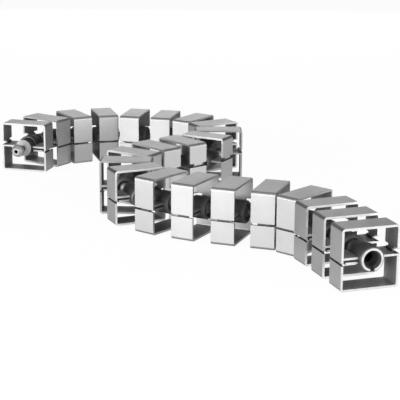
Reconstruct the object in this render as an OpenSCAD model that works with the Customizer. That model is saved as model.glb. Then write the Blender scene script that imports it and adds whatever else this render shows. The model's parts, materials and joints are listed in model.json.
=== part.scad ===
// Flexible cable duct: a chain of upright sleeves that snap together with balls and sockets.
// Each link is one moulding. A web at mid-height parts its sleeve into an upper and a lower
// channel for cables, and carries the hub with the ball in front and the socket behind.
// Millimetres, +Z up. The chain lies on the floor in an S, and the origin is on the floor
// at the middle of its outline.

/* [Sleeve] */
// Outer width of the sleeve
width = 45; // [40:0.5:60]
// Outer height of the sleeve
height = 46.5; // [40:0.5:60]
// Length of the sleeve along the chain
sleeve_length = 19.5; // [16:0.5:28]
// Thickness of the sleeve's walls
wall = 1.7; // [1.4:0.1:2.4]
// Radius of the sleeve's long outer edges
corner_radius = 2.5; // [1:0.1:5]
// Thickness of the web
web = 1.6; // [1.2:0.1:2.2]
// Height of the web's middle above the axis of the hub
web_rise = 1; // [0.6:0.1:1.6]

/* [Cable slits] */
// Height of the slit in each side wall
slit = 1.8; // [1.4:0.1:2.4]
// Gap between the web and the lip under it, which leads a cable into the lower channel
entry_gap = 1.7; // [1.2:0.1:2.2]
// Thickness of the lip under the web
lip = 1.5; // [1:0.1:2]
// Thickness of the tongues that stand behind the slits
tongue = 1.2; // [0.8:0.1:1.8]
// Gap between a tongue and the wall that it overlaps
tongue_gap = 0.4; // [0.3:0.1:0.8]
// Overlap of a tongue and that wall
tongue_lap = 0.6; // [0.4:0.1:1]
// Length at each end of a slit where no tongue closes it
notch = 5; // [1.5:0.5:6]
// Height of the left slit at its two open ends, where a cable is pressed in
entry_height = 3.6; // [2.4:0.2:5]

/* [Ball and socket] */
// Diameter of the ball
ball_d = 12; // [10:0.5:14]
// Running clearance between the ball and its socket
ball_clearance = 0.1; // [0.05:0.05:0.25]
// How much smaller the throat of the socket is than the ball, on the radius
snap = 0.4; // [0.2:0.1:0.7]
// Diameter of the neck behind the ball
neck_d = 5; // [4.5:0.5:6.5]
// Diameter of the flat on the tip of the ball
tip_d = 6; // [5:0.5:8]
// Diameter of the cored hole in the tip of the ball
core_d = 3.6; // [2.5:0.1:4]
// Depth of the cored hole
core_depth = 8; // [6:1:16]
// Diameter of the collar behind the neck
collar_d = 16; // [13:0.5:18]
// Length of the cone at the front of the collar
collar_cone = 2.4; // [1:0.2:3.6]
// Reach of the socket's ring beyond the centre of the ball
cup_reach = 5.5; // [4:0.5:6]
// Width of the ring round the mouth of the socket
rim = 2.3; // [1.6:0.1:2.8]
// Chamfer on the outer edge of that ring
rim_chamfer = 0.9; // [0.2:0.1:1.2]
// Thickness of the floor of the socket
cup_floor = 2; // [1.4:0.1:3]
// Diameter of the bore that hollows the hub behind the socket
bore_d = 9; // [6:0.5:10]
// Distance of the socket's centre inside the rear face of the sleeve
socket_inset = 1.75; // [0:0.25:4]
// Width of the spring slot in the underside of the ring
slot = 3.4; // [2:0.2:5]

/* [Bending] */
// Greatest bend of a joint to either side, in degrees
bend_limit = 32; // [24:1:36]
// Gap that is left between two sleeves at the greatest bend
edge_gap = 0.85; // [0.3:0.05:1.5]
// Gap that is left between hub parts at the greatest bend
hub_gap = 0.5; // [0.3:0.1:1]
// Heading of the first link from +X, in degrees
first_heading = 75; // [0:0.5:180]

/* [Hidden] */
NODES = [
    "link_01", "link_02", "link_03", "link_04", "link_05", "link_06", "link_07", "link_08",
    "link_09", "link_10", "link_11", "link_12", "link_13", "link_14", "link_15", "link_16",
    "link_17", "link_18", "link_19", "link_20", "link_21", "link_22", "link_23"
];
$fn = 96;

// Bend of each joint as the chain lies, as a share of the greatest bend. Minus turns right.
bend_shares = [
    -0.59, -0.83, -0.43, -0.87, -0.03, -0.61, -0.80, -0.94, -0.95, -0.65, 0.09,
    0.48, 0.93, 0.81, 0.85, 0.33, 0.22, 0.07, -0.73, -0.82, -0.07, -0.03
];

silver = [0.76, 0.76, 0.78];
last = len(NODES) - 1;
// Overlap of the pieces of one moulding, and the overrun of a cut
melt = 0.2;
over = 1;

// Along the axis of a link, from the centre of its own ball
front = socket_inset * cos(bend_limit) + width / 2 * sin(bend_limit) + edge_gap;
rear = front + sleeve_length;
pitch = rear - socket_inset;

// Hub
ball_r = ball_d / 2;
cavity_r = ball_r + ball_clearance;
throat_r = ball_r - snap;
throat_x = sqrt(cavity_r * cavity_r - throat_r * throat_r);
mouth_r = (neck_d / 2 + hub_gap + cup_reach * sin(bend_limit)) / cos(bend_limit);
cup_r = mouth_r + rim;
cup_back = pitch - cavity_r - cup_floor;
cup_face = pitch + cup_reach;
collar_x = cup_reach * cos(bend_limit) + cup_r * sin(bend_limit) + hub_gap;
bore_x = collar_x + collar_cone + cup_floor;
tip_x = -sqrt(ball_r * ball_r - tip_d * tip_d / 4);

// Section of the sleeve, from the axis of the hub
half = width / 2;
inside = half - wall;
axis_height = height / 2;
web_top = web_rise + web / 2;
web_bottom = web_rise - web / 2;
left_slit = web_top;
lip_top = web_bottom - entry_gap;
right_slit = lip_top - tongue_lap - slit;
tongue_out = inside - tongue_gap;
tongue_in = tongue_out - tongue;
lip_in = cup_r + hub_gap;

// The chain as it lies
function heading(i) = i == 0 ? first_heading : heading(i - 1) + bend_limit * bend_shares[i - 1];
function along(i) = [cos(heading(i)), sin(heading(i))];
function across(i) = [-sin(heading(i)), cos(heading(i))];
function pivot(i) = i == 0 ? [0, 0] : pivot(i - 1) + pitch * along(i - 1);
function spot(i, x, y) = pivot(i) + x * along(i) + y * across(i);

outline = concat(
    [for (i = [0:last], x = [front, rear], y = [-half, half]) spot(i, x, y)],
    [for (y = [-cup_r, cup_r]) spot(last, cup_face, y)],
    [for (d = [[-1, 0], [1, 0], [0, -1], [0, 1]]) pivot(0) + ball_r * d]
);
xs = [for (p = outline) p.x];
ys = [for (p = outline) p.y];
middle = [(min(xs) + max(xs)) / 2, (min(ys) + max(ys)) / 2];

// A rectangle given by its edges
module panel(left, right, bottom, top) {
    translate([left, bottom]) square([right - left, top - bottom]);
}

module rounded_panel(half_width, half_height, radius) {
    panel(-half_width, half_width, radius - half_height, half_height - radius);
    panel(radius - half_width, half_width - radius, -half_height, half_height);
    for (y = [-1, 1], z = [-1, 1])
        translate([y * (half_width - radius), z * (half_height - radius)]) circle(r = radius);
}

// Drawn across the chain, with the left of the chain on +X of the drawing
module extruded(from, to) {
    translate([from, 0, 0]) rotate([90, 0, 90]) linear_extrude(to - from) children();
}

// Turned about the axis, with the drawing's height along the chain
module turned() {
    rotate([0, 90, 0]) rotate_extrude() children();
}

// The tube with its web, slit near mid-height in both side walls
module sleeve_section() {
    difference() {
        rounded_panel(half, axis_height, corner_radius);
        rounded_panel(inside, axis_height - wall, max(corner_radius - wall, melt));
        panel(inside - over, half + over, left_slit, left_slit + slit);
        panel(-half - over, -inside + over, right_slit, right_slit + slit);
    }
    panel(-inside - melt, inside + melt, web_bottom, web_top);
}

// The taller open end of the left slit
module entry_section() {
    panel(inside - over, half + over, left_slit, left_slit + entry_height);
}

// On the left a tongue stands on the web. On the right it stands on the wall under the slit
// and carries the lip below the web.
module tongue_section() {
    panel(tongue_in, tongue_out, web_top - melt, left_slit + slit + tongue_lap);
    panel(-inside - melt, -tongue_in, right_slit - lip, right_slit);
    panel(-tongue_out, -tongue_in, right_slit - melt, lip_top);
}

// The lip runs from end to end
module lip_section() {
    panel(-tongue_in - melt, -lip_in, lip_top - lip, lip_top);
}

// Ball, neck, collar, core and cup
module hub() {
    turned() intersection() {
        circle(r = ball_r);
        panel(0, ball_r, tip_x, ball_r);
    }
    turned() {
        panel(0, neck_d / 2, 0, collar_x + collar_cone);
        polygon([
            [0, collar_x],
            [neck_d / 2 + rim / 2, collar_x],
            [collar_d / 2, collar_x + collar_cone],
            [collar_d / 2, cup_back + melt],
            [0, cup_back + melt]
        ]);
        polygon([
            [0, cup_back],
            [cup_r, cup_back],
            [cup_r, cup_face - rim_chamfer],
            [cup_r - rim_chamfer, cup_face],
            [0, cup_face]
        ]);
    }
}

// What the next link's ball runs in, open to the rear, with the bore behind it and the spring
// slot under the ring
module socket() {
    translate([pitch, 0, 0]) {
        turned() intersection() {
            circle(r = cavity_r);
            panel(0, cavity_r, -cavity_r, cavity_r);
        }
        turned() polygon([
            [0, 0],
            [throat_r, 0],
            [throat_r, throat_x],
            [mouth_r, cup_reach],
            [mouth_r, cup_reach + over],
            [0, cup_reach + over]
        ]);
        translate([0, -slot / 2, -cup_r - over]) cube([cup_reach + over, slot, cup_r + over]);
    }
    turned() panel(0, bore_d / 2, bore_x, pitch);
}

module link() {
    color(silver) difference() {
        union() {
            extruded(front, rear) sleeve_section();
            extruded(front + notch, rear - notch) tongue_section();
            extruded(front, rear) lip_section();
            hub();
        }
        extruded(front - over, front + notch) entry_section();
        extruded(rear - notch, rear + over) entry_section();
        socket();
        turned() panel(0, core_d / 2, tip_x - over, tip_x + core_depth);
    }
}

module placed_link(i) {
    p = pivot(i) - middle;
    translate([p.x, p.y, axis_height]) rotate([0, 0, heading(i)]) link();
}

for (i = [0:last])
    placed_link(i);
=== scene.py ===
"""Looks of the flexible cable duct: silver lacquered links on a white floor."""
import json
import math

import bpy
from mathutils import Matrix, Vector

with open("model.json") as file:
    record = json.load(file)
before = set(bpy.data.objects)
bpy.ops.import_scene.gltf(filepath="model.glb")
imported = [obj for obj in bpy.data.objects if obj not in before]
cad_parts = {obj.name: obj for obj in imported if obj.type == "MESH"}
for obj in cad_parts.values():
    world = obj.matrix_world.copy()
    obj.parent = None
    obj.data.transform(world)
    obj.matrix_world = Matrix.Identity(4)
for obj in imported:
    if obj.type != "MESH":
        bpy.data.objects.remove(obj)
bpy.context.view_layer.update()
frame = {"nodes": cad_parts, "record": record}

# Sizes of a link in metres
WIDTH = 0.045
HEIGHT = 0.0465
SLEEVE_LENGTH = 0.0195
WALL = 0.0017
CORNER_RADIUS = 0.0025
SOCKET_INSET = 0.00175
CUP_REACH = 0.0055
CUP_RADIUS = 0.009274
MOUTH_RADIUS = 0.00697
COLLAR_BACK = 0.01248
BALL_BACK = 0.005
NECK_RADIUS = 0.0025
CORE_RADIUS = 0.0018
NOTCH = 0.005
# Lower and upper edge of the slits, up from the axis. The left one is taller at its open ends
LEFT_SLIT = (0.0018, 0.0036)
LEFT_ENTRY = (0.0018, 0.0054)
RIGHT_SLIT = (-0.0039, -0.0021)
# Sign of a distance across, to the left and right of the axis
LEFT, RIGHT = 1.0, -1.0

FREE_BALL = "link_01"
FREE_SOCKET = "link_23"
# Links whose inner walls get a painted pool of light, brighter than the lacquer outside
LIT_WALL_LINKS = {"link_16", "link_17", "link_18"}
# Tone of the mouths: a little darker than the lacquer on most links as painted shade, and a painted
# highlight on the links listed
PLAIN_RIM_TONE = 0.32
BRIGHT_RIM_TONE = {
    "link_01": 0.38,
    "link_10": 0.6,
    "link_15": 0.6,
    "link_21": 0.6,
    "link_22": 0.6,
    "link_23": 0.48,
}
RIM_TONE_SPREAD = (-0.03, 0.04)

# Darker and lighter tone of each finish
SILVER = ((0.375, 0.375, 0.378), (0.425, 0.425, 0.428))
# Painted shade within the sleeve and a painted dark line along the rounded long edges
SHADED_SILVER = ((0.23, 0.23, 0.232), (0.28, 0.28, 0.282))
# Painted pool of light on the inner walls of some links
LIT_WALL_SILVER = ((0.53, 0.53, 0.533), (0.58, 0.58, 0.583))
# Painted shade on the hub, its neck and in the slits
SHADE_GREY = ((0.1, 0.1, 0.102), (0.13, 0.13, 0.132))
# Near-black painted shade in the open slit ends, the core and the free socket's hollow
DEEP_SHADE = ((0.02, 0.02, 0.02), (0.03, 0.03, 0.03))
# Tint of what the lacquer mirrors at a glancing angle
GLANCE_TINT = (0.45, 0.45, 0.45, 1.0)
# Metal, gloss and roughness of the lacquer where it is whole, and where painted shade or near-black painted
# shade lies on it
WHOLE_METAL, SHADED_METAL = 1.0, 0.8
WHOLE_GLOSS, DARK_GLOSS = 0.5, 0.05
SATIN = (0.42, 0.54)
MATT = (0.55, 0.65)
# Patterns: slow drift of tone, fine metal flake and its bump, and a noise that breaks up the painted tone
# of the mouths
DRIFT = {"Scale": 38.0, "Detail": 3.0, "Roughness": 0.5}
FLAKE = {"Scale": 2600.0, "Detail": 2.0, "Roughness": 0.6}
FLAKE_BUMP = {"Strength": 0.12, "Distance": 0.0001}
RIM_NOISE = {"Scale": 420.0, "Detail": 4.0, "Roughness": 0.6}
# The part of a pattern's range over which a finish changes
PATTERN_SPAN = (0.3, 0.7)
RIM_NOISE_SPAN = (0.3, 0.6)
# Share of the painted rim tone where its noise is weakest
WEAK_RIM_NOISE = 0.8

# Start and end of the change from one finish to the next, in metres from the face that it belongs to
# Width of the band on the mouths that takes the painted tone
RIM_BAND = 0.00028
AT_RIM = (-RIM_BAND, -0.5 * RIM_BAND)
AT_WALL = (0.0001, 0.0003)
BEFORE_WALL = (-0.0006, -0.0002)
AT_ROUNDING = (-CORNER_RADIUS, -0.7 * CORNER_RADIUS)
AT_CUP = (0.0002, 0.0005)
AT_NECK = (0.0003, 0.0006)
AT_CORE = (0.00005, 0.00015)
BEHIND_BALL = (0.0, 0.0005)
# Start of the painted shade on the hub behind the ball
AT_HUB_SHADE = (0.0, 0.001)
AT_NOTCH = (-0.0005, 0.0005)
AT_TONGUE = (-0.0018, -0.0016)
UNDER_SKIN = (-0.00012, -0.00004)
AT_MOUTH = (-0.0001, 0.0001)
SOCKET_FLOOR = (-0.008, -0.007)
# How far from the sleeve's middle the painted shade in it is full, and what share of it is left at the
# mouths
SHADE_REACH = 0.003
SHADE_AT_MOUTH = 0.4
# Share of near-black painted shade in the hollow of the free socket
DEEP_SHADE_IN_SOCKET = 0.75

# Rounding of the edges, in metres and degrees
JOIN_WITHIN = 0.00001
FLAT_WITHIN = 0.5
SOFT_EDGE = 0.00022
SOFT_STEPS = 2
SHARP_OVER = 35
LARGE_FACES_FIRST = 100

# Lamps: degrees from the front towards the left, degrees up, metres away, width and height, brightness
SOFTBOXES = {
    "left_softbox": (49.0, 12.0, 1.5, (1.86, 0.6), 10.6),
    "right_softbox": (-52.0, 12.0, 1.5, (1.77, 0.6), 7.8),
    "back_softbox": (180.0, 14.0, 1.5, (0.8, 0.6), 4.1),
    "top_softbox": (0.0, 89.0, 1.6, (3.0, 3.0), 0.75),
}
LAMP_AIM = Vector((0.0, 0.0, 0.02))
FLOOR_SIZE = 12.0
PAPER_WHITE = (0.9, 0.9, 0.9, 1.0)
PAPER_GLOW = 0.95
ROOM_WHITE = (1.0, 1.0, 1.0, 1.0)
ROOM_LIGHT = 0.06

# Camera fitted to the photograph, which is taken as 400 by 400. Metres and degrees
PHOTO_PX = 400.0
FOCAL_PX = 1287.27
SENSOR_MM = 36.0
CAMERA_PLACE = (0.028552, -1.085257, 0.29496)
CAMERA_TURN = 0.169
CAMERA_TILT = 90.0 - 14.8342
CAMERA_ROLL = 0.4048
CAMERA_CLIP = (0.01, 50.0)

# Layout of the shader nodes
NODE_STEP = (190, 260)
NODES_IN_ROW = 14


def link_places():
    """Each link's ball and the way its axis points, and the pitch of the chain.

    The balls are the joints' places, with the ball mount before them and the socket mount after them.
    A link points from its ball to the next one, and the pitch is the distance between two of them.
    """
    record = frame["record"]
    mounts = {mount["name"]: mount["pos_m"] for mount in record["mounts"]}
    joints = {joint["child"]: joint["pos_m"] for joint in record["behaviour"]["joints"]}
    names = sorted(frame["nodes"])
    points = [Vector(joints.get(name, mounts["ball"])) for name in names] + [Vector(mounts["socket"])]
    ways = [math.atan2(b.y - a.y, b.x - a.x) for a, b in zip(points, points[1:])]
    pitch = (points[1] - points[0]).length
    return {name: (point, way) for name, point, way in zip(names, points, ways)}, pitch


# Along the axis from the middle of the ball, and across and up from the axis
PLACES, PITCH = link_places()
REAR = PITCH + SOCKET_INSET
FRONT = REAR - SLEEVE_LENGTH
MIDDLE = (FRONT + REAR) / 2
CUP_FACE = PITCH + CUP_REACH
HALF_LENGTH = SLEEVE_LENGTH / 2
HALF_WIDTH = WIDTH / 2
INSIDE = HALF_WIDTH - WALL
INSIDE_UP = HEIGHT / 2 - WALL
LONG_EDGE = WIDTH / 2 + HEIGHT / 2


class FinishSheet:
    """The shader nodes of one finish, laid out in rows in the order in which they are made.

    A region of the surface is a value from 0, outside it, to 1, in it.
    """

    def __init__(self, name):
        self.finish = bpy.data.materials.new(name)
        self.finish.use_nodes = True
        self.tree = self.finish.node_tree
        self.made = 0

    def feed(self, slot, value):
        """Links another node's output to an input, or sets a number or colour on it."""
        if isinstance(value, bpy.types.NodeSocket):
            self.tree.links.new(value, slot)
        else:
            slot.default_value = value

    def node(self, kind, **inputs):
        """A new node with its inputs fed by name."""
        made = self.tree.nodes.new(kind)
        row, place = divmod(self.made, NODES_IN_ROW)
        made.location = ((place - NODES_IN_ROW) * NODE_STEP[0], -row * NODE_STEP[1])
        self.made += 1
        for key, value in inputs.items():
            self.feed(made.inputs[key], value)
        return made

    def reckon(self, sign, *values):
        """The product, difference, sum or larger one of two values, or one value without its sign."""
        made = self.node("ShaderNodeMath")
        made.operation = sign
        for slot, value in zip(made.inputs, values):
            self.feed(slot, value)
        return made.outputs[0]

    def all_of(self, first, *others):
        """The part that lies in every region: their product."""
        for region in others:
            first = self.reckon("MULTIPLY", first, region)
        return first

    def any_of(self, first, *others):
        """The part that lies in at least one region: the largest of them."""
        for region in others:
            first = self.reckon("MAXIMUM", first, region)
        return first

    def outside(self, region):
        """The part that a region leaves: one less the region."""
        return self.reckon("SUBTRACT", 1.0, region)

    def fade(self, value, start, end, low, high):
        """Eases from low to high as a value goes from start to end, along a smooth step."""
        made = self.node("ShaderNodeMapRange", **{
            "Value": value, "From Min": start, "From Max": end, "To Min": low, "To Max": high})
        made.interpolation_type = "SMOOTHSTEP"
        return made.outputs["Result"]

    def past(self, value, face, change):
        """The region where a value is beyond a face: eases from 0 to 1 over the change there."""
        return self.fade(value, face + change[0], face + change[1], 0.0, 1.0)

    def short_of(self, value, face, change):
        """The region where a value is before a face: eases from 1 to 0 over the change there."""
        return self.fade(value, face + change[0], face + change[1], 1.0, 0.0)

    def two_tones(self, pattern, tones):
        """A straight blend of a finish's two tones by the middle of a pattern's range."""
        made = self.node("ShaderNodeValToRGB", Fac=pattern)
        for stop, place, tone in zip(made.color_ramp.elements, PATTERN_SPAN, tones):
            stop.position = place
            stop.color = (*tone, 1.0)
        return made.outputs["Color"]

    def laid_over(self, under, region, over):
        """Blends from one colour or value to another by a region."""
        made = self.node("ShaderNodeMix")
        made.data_type = "RGBA" if under.type == "RGBA" else "FLOAT"
        share, first, second = [slot for slot in made.inputs if slot.enabled]
        for slot, value in ((share, region), (first, under), (second, over)):
            self.feed(slot, value)
        return next(slot for slot in made.outputs if slot.enabled)


class LinkSpot:
    """A spot's place on its own link, worked out from its place on the duct.

    The place is moved to the ball and turned to the axis. along is then counted from the ball down the
    axis, across from the axis to the left, and up from the axis. side and level are across and up without
    their sign, depth is the distance along from the sleeve's middle, and reach is the distance out from
    the axis, the root of the summed squares of across and up.
    """

    def __init__(self, sheet, where, ball, way):
        local = sheet.node("ShaderNodeMapping", Vector=where, Location=ball, Rotation=(0.0, 0.0, way))
        local.vector_type = "TEXTURE"
        split = sheet.node("ShaderNodeSeparateXYZ", Vector=local.outputs["Vector"])
        self.along, self.across, self.up = split.outputs
        self.side = sheet.reckon("ABSOLUTE", self.across)
        self.level = sheet.reckon("ABSOLUTE", self.up)
        self.depth = sheet.reckon("ABSOLUTE", sheet.reckon("SUBTRACT", self.along, MIDDLE))
        flat = sheet.node("ShaderNodeCombineXYZ", Y=self.across, Z=self.up)
        length = sheet.node("ShaderNodeVectorMath")
        length.operation = "LENGTH"
        sheet.feed(length.inputs[0], flat.outputs["Vector"])
        self.reach = length.outputs["Value"]


def slit_band(sheet, spot, hand, low, high):
    """The band of one slit: from its tongue to just under the outer face, between its low and high edge."""
    out = sheet.reckon("MULTIPLY", spot.across, hand)
    off_middle = sheet.reckon("ABSOLUTE", sheet.reckon("SUBTRACT", spot.up, (low + high) / 2))
    return sheet.all_of(
        sheet.past(out, INSIDE, AT_TONGUE),
        sheet.short_of(out, HALF_WIDTH, UNDER_SKIN),
        sheet.short_of(off_middle, (high - low) / 2, AT_WALL))


def silver_lacquer(link):
    """Silver lacquer with painted light and shade, blended finish over finish by the regions of a link.

    It is plain outside. Painted shade darkens it within the sleeve, less at the mouths, and a painted dark
    line runs along the rounded edges. Deeper painted shade lies on the hub and in the slits, and near-black
    painted shade where the slits are open, in the core and in a free socket's hollow. The mouths and a free
    socket's ring carry a painted tone: a painted highlight on some links, a little darker than the lacquer
    on the rest. A few links get a painted pool of light on their inner walls.
    """
    ball, way = PLACES[link]
    sheet = FinishSheet("silver_" + link)
    shader = sheet.tree.nodes["Principled BSDF"]
    shader.inputs["Specular Tint"].default_value = GLANCE_TINT
    where = sheet.node("ShaderNodeTexCoord").outputs["Object"]
    drift, flake, rim_noise = (
        sheet.node("ShaderNodeTexNoise", Vector=where, **pattern).outputs["Fac"]
        for pattern in (DRIFT, FLAKE, RIM_NOISE))
    spot = LinkSpot(sheet, where, ball, way)

    # Painted shade within the sleeve, weaker at the mouths; on some links a painted pool of light on the
    # inner walls instead
    enclosed = sheet.all_of(
        sheet.short_of(spot.side, INSIDE, AT_WALL),
        sheet.short_of(spot.level, INSIDE_UP, AT_WALL))
    shade_share = sheet.fade(spot.depth, SHADE_REACH, HALF_LENGTH - RIM_BAND, 1.0, SHADE_AT_MOUTH)
    inner_shade = sheet.all_of(enclosed, shade_share)
    if link in LIT_WALL_LINKS:
        lit_wall = sheet.all_of(enclosed, sheet.past(spot.side, INSIDE, BEFORE_WALL))
        inner_shade = sheet.all_of(inner_shade, sheet.outside(lit_wall))
    # Painted dark line along the rounded long edges
    rounding = sheet.past(sheet.reckon("ADD", spot.side, spot.level), LONG_EDGE, AT_ROUNDING)

    # Painted shade on the hub behind the ball and on its neck, and near-black painted shade in the core in
    # it
    near_axis = sheet.short_of(spot.reach, CUP_RADIUS, AT_CUP)
    shade_from = COLLAR_BACK if link == FREE_BALL else BALL_BACK
    hub = sheet.all_of(near_axis, sheet.past(spot.along, shade_from, AT_HUB_SHADE))
    neck = sheet.all_of(
        sheet.short_of(spot.reach, NECK_RADIUS, AT_NECK),
        sheet.past(spot.along, BALL_BACK, BEHIND_BALL))
    core = sheet.short_of(spot.reach, CORE_RADIUS, AT_CORE)

    # Painted shade in the slits, near-black where they are open at both ends of the sleeve
    open_end = sheet.past(spot.depth, HALF_LENGTH - NOTCH, AT_NOTCH)
    slits = sheet.any_of(
        slit_band(sheet, spot, LEFT, *LEFT_SLIT),
        sheet.all_of(slit_band(sheet, spot, LEFT, *LEFT_ENTRY), open_end),
        slit_band(sheet, spot, RIGHT, *RIGHT_SLIT))

    # Painted shade on the hub, neck and slits, near-black painted shade in the open slit ends and core, and
    # softer painted shade within the sleeve and round the axis
    shade = sheet.any_of(hub, neck, slits)
    dark = sheet.any_of(sheet.all_of(slits, open_end), core)
    soft_shade = inner_shade if link == FREE_BALL else sheet.any_of(inner_shade, near_axis)
    any_shade = sheet.any_of(soft_shade, shade)

    # Painted tone on the mouths, a painted highlight on the free socket's ring and near-black painted shade
    # in its hollow
    painted_rim = sheet.all_of(
        sheet.past(spot.depth, HALF_LENGTH, AT_RIM),
        sheet.outside(sheet.any_of(shade, near_axis)))
    if link == FREE_SOCKET:
        mouth_start, mouth_end = (MOUTH_RADIUS + change for change in AT_MOUTH)
        hollow = sheet.all_of(
            sheet.fade(spot.reach, mouth_start, mouth_end, DEEP_SHADE_IN_SOCKET, 0.0),
            sheet.past(spot.along, PITCH, SOCKET_FLOOR))
        dark = sheet.any_of(dark, hollow)
        painted_rim = sheet.any_of(painted_rim, sheet.past(spot.along, CUP_FACE, AT_RIM))
    painted_rim = sheet.all_of(painted_rim, sheet.fade(rim_noise, *RIM_NOISE_SPAN, WEAK_RIM_NOISE, 1.0))

    # Painted tone of this link's mouths: a painted highlight, or a little darker than the lacquer
    rim_tone = BRIGHT_RIM_TONE.get(link, PLAIN_RIM_TONE)
    rim_tones = [(rim_tone + spread,) * 3 for spread in RIM_TONE_SPREAD]
    coat = sheet.laid_over(
        sheet.two_tones(drift, SILVER), sheet.any_of(soft_shade, rounding), sheet.two_tones(drift, SHADED_SILVER))
    # Painted pool of light on the inner walls of some links
    if link in LIT_WALL_LINKS:
        coat = sheet.laid_over(coat, lit_wall, sheet.two_tones(drift, LIT_WALL_SILVER))
    coat = sheet.laid_over(coat, shade, sheet.two_tones(drift, SHADE_GREY))
    # Near-black painted shade in the open slit ends, the core and the free socket's hollow
    coat = sheet.laid_over(coat, dark, sheet.two_tones(drift, DEEP_SHADE))
    coat = sheet.laid_over(coat, painted_rim, sheet.two_tones(rim_noise, rim_tones))
    sheet.feed(shader.inputs["Base Color"], coat)

    metal = sheet.fade(any_shade, 0.0, 1.0, WHOLE_METAL, SHADED_METAL)
    sheet.feed(shader.inputs["Metallic"], sheet.all_of(metal, sheet.fade(dark, 0.0, 1.0, 1.0, 0.0)))
    gloss = sheet.fade(dark, 0.0, 1.0, WHOLE_GLOSS, DARK_GLOSS)
    sheet.feed(shader.inputs["Specular IOR Level"], gloss)
    satin = sheet.fade(flake, *PATTERN_SPAN, *SATIN)
    matt = sheet.fade(flake, *PATTERN_SPAN, *MATT)
    sheet.feed(shader.inputs["Roughness"], sheet.laid_over(satin, any_shade, matt))
    bump = sheet.node("ShaderNodeBump", Height=flake, **FLAKE_BUMP)
    sheet.feed(shader.inputs["Normal"], bump.outputs["Normal"])
    return sheet.finish


def soften(link):
    """Joins a solid's faces at their corners and rounds its sharp edges, as a mould leaves them.

    Every edge sharper than the limit becomes an arc of the soft edge's width, and the shading of the large
    flat faces stays even up to it.
    """
    weld = link.modifiers.new("joined", "WELD")
    weld.merge_threshold = JOIN_WITHIN
    flat = link.modifiers.new("flat_faces", "DECIMATE")
    flat.decimate_type = "DISSOLVE"
    flat.angle_limit = math.radians(FLAT_WITHIN)
    bevel = link.modifiers.new("soft_edges", "BEVEL")
    bevel.width = SOFT_EDGE
    bevel.segments = SOFT_STEPS
    bevel.limit_method = "ANGLE"
    bevel.angle_limit = math.radians(SHARP_OVER)
    bevel.miter_outer = "MITER_ARC"
    bevel.use_clamp_overlap = True
    even = link.modifiers.new("even_shading", "WEIGHTED_NORMAL")
    even.mode = "FACE_AREA"
    even.weight = LARGE_FACES_FIRST
    even.keep_sharp = True


def softbox(name, azimuth, elevation, distance, size, brightness):
    """A soft lamp on a sphere round the duct that looks at its middle.

    Its power is its brightness times pi times its area, so a larger lamp is no brighter to look at.
    """
    data = bpy.data.lights.new(name, "AREA")
    data.shape = "RECTANGLE"
    data.size, data.size_y = size
    data.energy = brightness * math.pi * size[0] * size[1]
    lamp = bpy.data.objects.new(name, data)
    bpy.context.scene.collection.objects.link(lamp)
    a, e = math.radians(azimuth), math.radians(elevation)
    lamp.location = distance * Vector((-math.sin(a) * math.cos(e), -math.cos(a) * math.cos(e), math.sin(e)))
    lamp.rotation_euler = (LAMP_AIM - lamp.location).to_track_quat("-Z", "Y").to_euler()


def white_paper():
    """White paper that keeps a faint shadow.

    To the camera, in reflections and through glass it is a blend of plain white, by the share of glow,
    and of matt paper. To all other light it is matt paper.
    """
    sheet = FinishSheet("white_paper")
    sheet.tree.nodes.remove(sheet.tree.nodes["Principled BSDF"])
    path = sheet.node("ShaderNodeLightPath").outputs
    seen = sheet.any_of(path["Is Camera Ray"], path["Is Glossy Ray"], path["Is Transmission Ray"])
    blend = sheet.node("ShaderNodeMixShader", Fac=sheet.reckon("MULTIPLY", seen, PAPER_GLOW))
    sheet.feed(blend.inputs[1], sheet.node("ShaderNodeBsdfDiffuse", Color=PAPER_WHITE).outputs[0])
    sheet.feed(blend.inputs[2], sheet.node("ShaderNodeEmission", Strength=1.0).outputs[0])
    sheet.feed(sheet.tree.nodes["Material Output"].inputs["Surface"], blend.outputs[0])
    return sheet.finish


def photo_camera():
    """A camera where the photograph was taken from.

    From looking straight down it is rolled, tilted up and then turned about the upright. Its lens is the
    focal length in pixels times the sensor's share of a pixel.
    """
    data = bpy.data.cameras.new("camera")
    data.sensor_fit = "HORIZONTAL"
    data.sensor_width = SENSOR_MM
    data.lens = FOCAL_PX / PHOTO_PX * SENSOR_MM
    data.clip_start, data.clip_end = CAMERA_CLIP
    camera = bpy.data.objects.new("camera", data)
    bpy.context.scene.collection.objects.link(camera)
    turn = Matrix.Rotation(math.radians(CAMERA_TURN), 3, "Z")
    tilt = Matrix.Rotation(math.radians(CAMERA_TILT), 3, "X")
    roll = Matrix.Rotation(math.radians(CAMERA_ROLL), 3, "Z")
    camera.location = CAMERA_PLACE
    camera.rotation_euler = (turn @ tilt @ roll).to_euler()
    bpy.context.scene.camera = camera


# Links
for name in PLACES:
    link = frame["nodes"][name]
    link.data.materials.clear()
    link.data.materials.append(silver_lacquer(name))
    soften(link)

# Lamps, floor, room and camera
for name, settings in SOFTBOXES.items():
    softbox(name, *settings)

bpy.ops.mesh.primitive_grid_add(x_subdivisions=2, y_subdivisions=2, size=FLOOR_SIZE, location=(0, 0, 0))
floor = bpy.context.object
floor.name = "floor"
floor.data.materials.append(white_paper())

world = bpy.data.worlds.new("studio")
bpy.context.scene.world = world
world.use_nodes = True
room = world.node_tree.nodes["Background"]
room.inputs["Color"].default_value = ROOM_WHITE
room.inputs["Strength"].default_value = ROOM_LIGHT

photo_camera()
bpy.context.scene.view_settings.view_transform = "Standard"
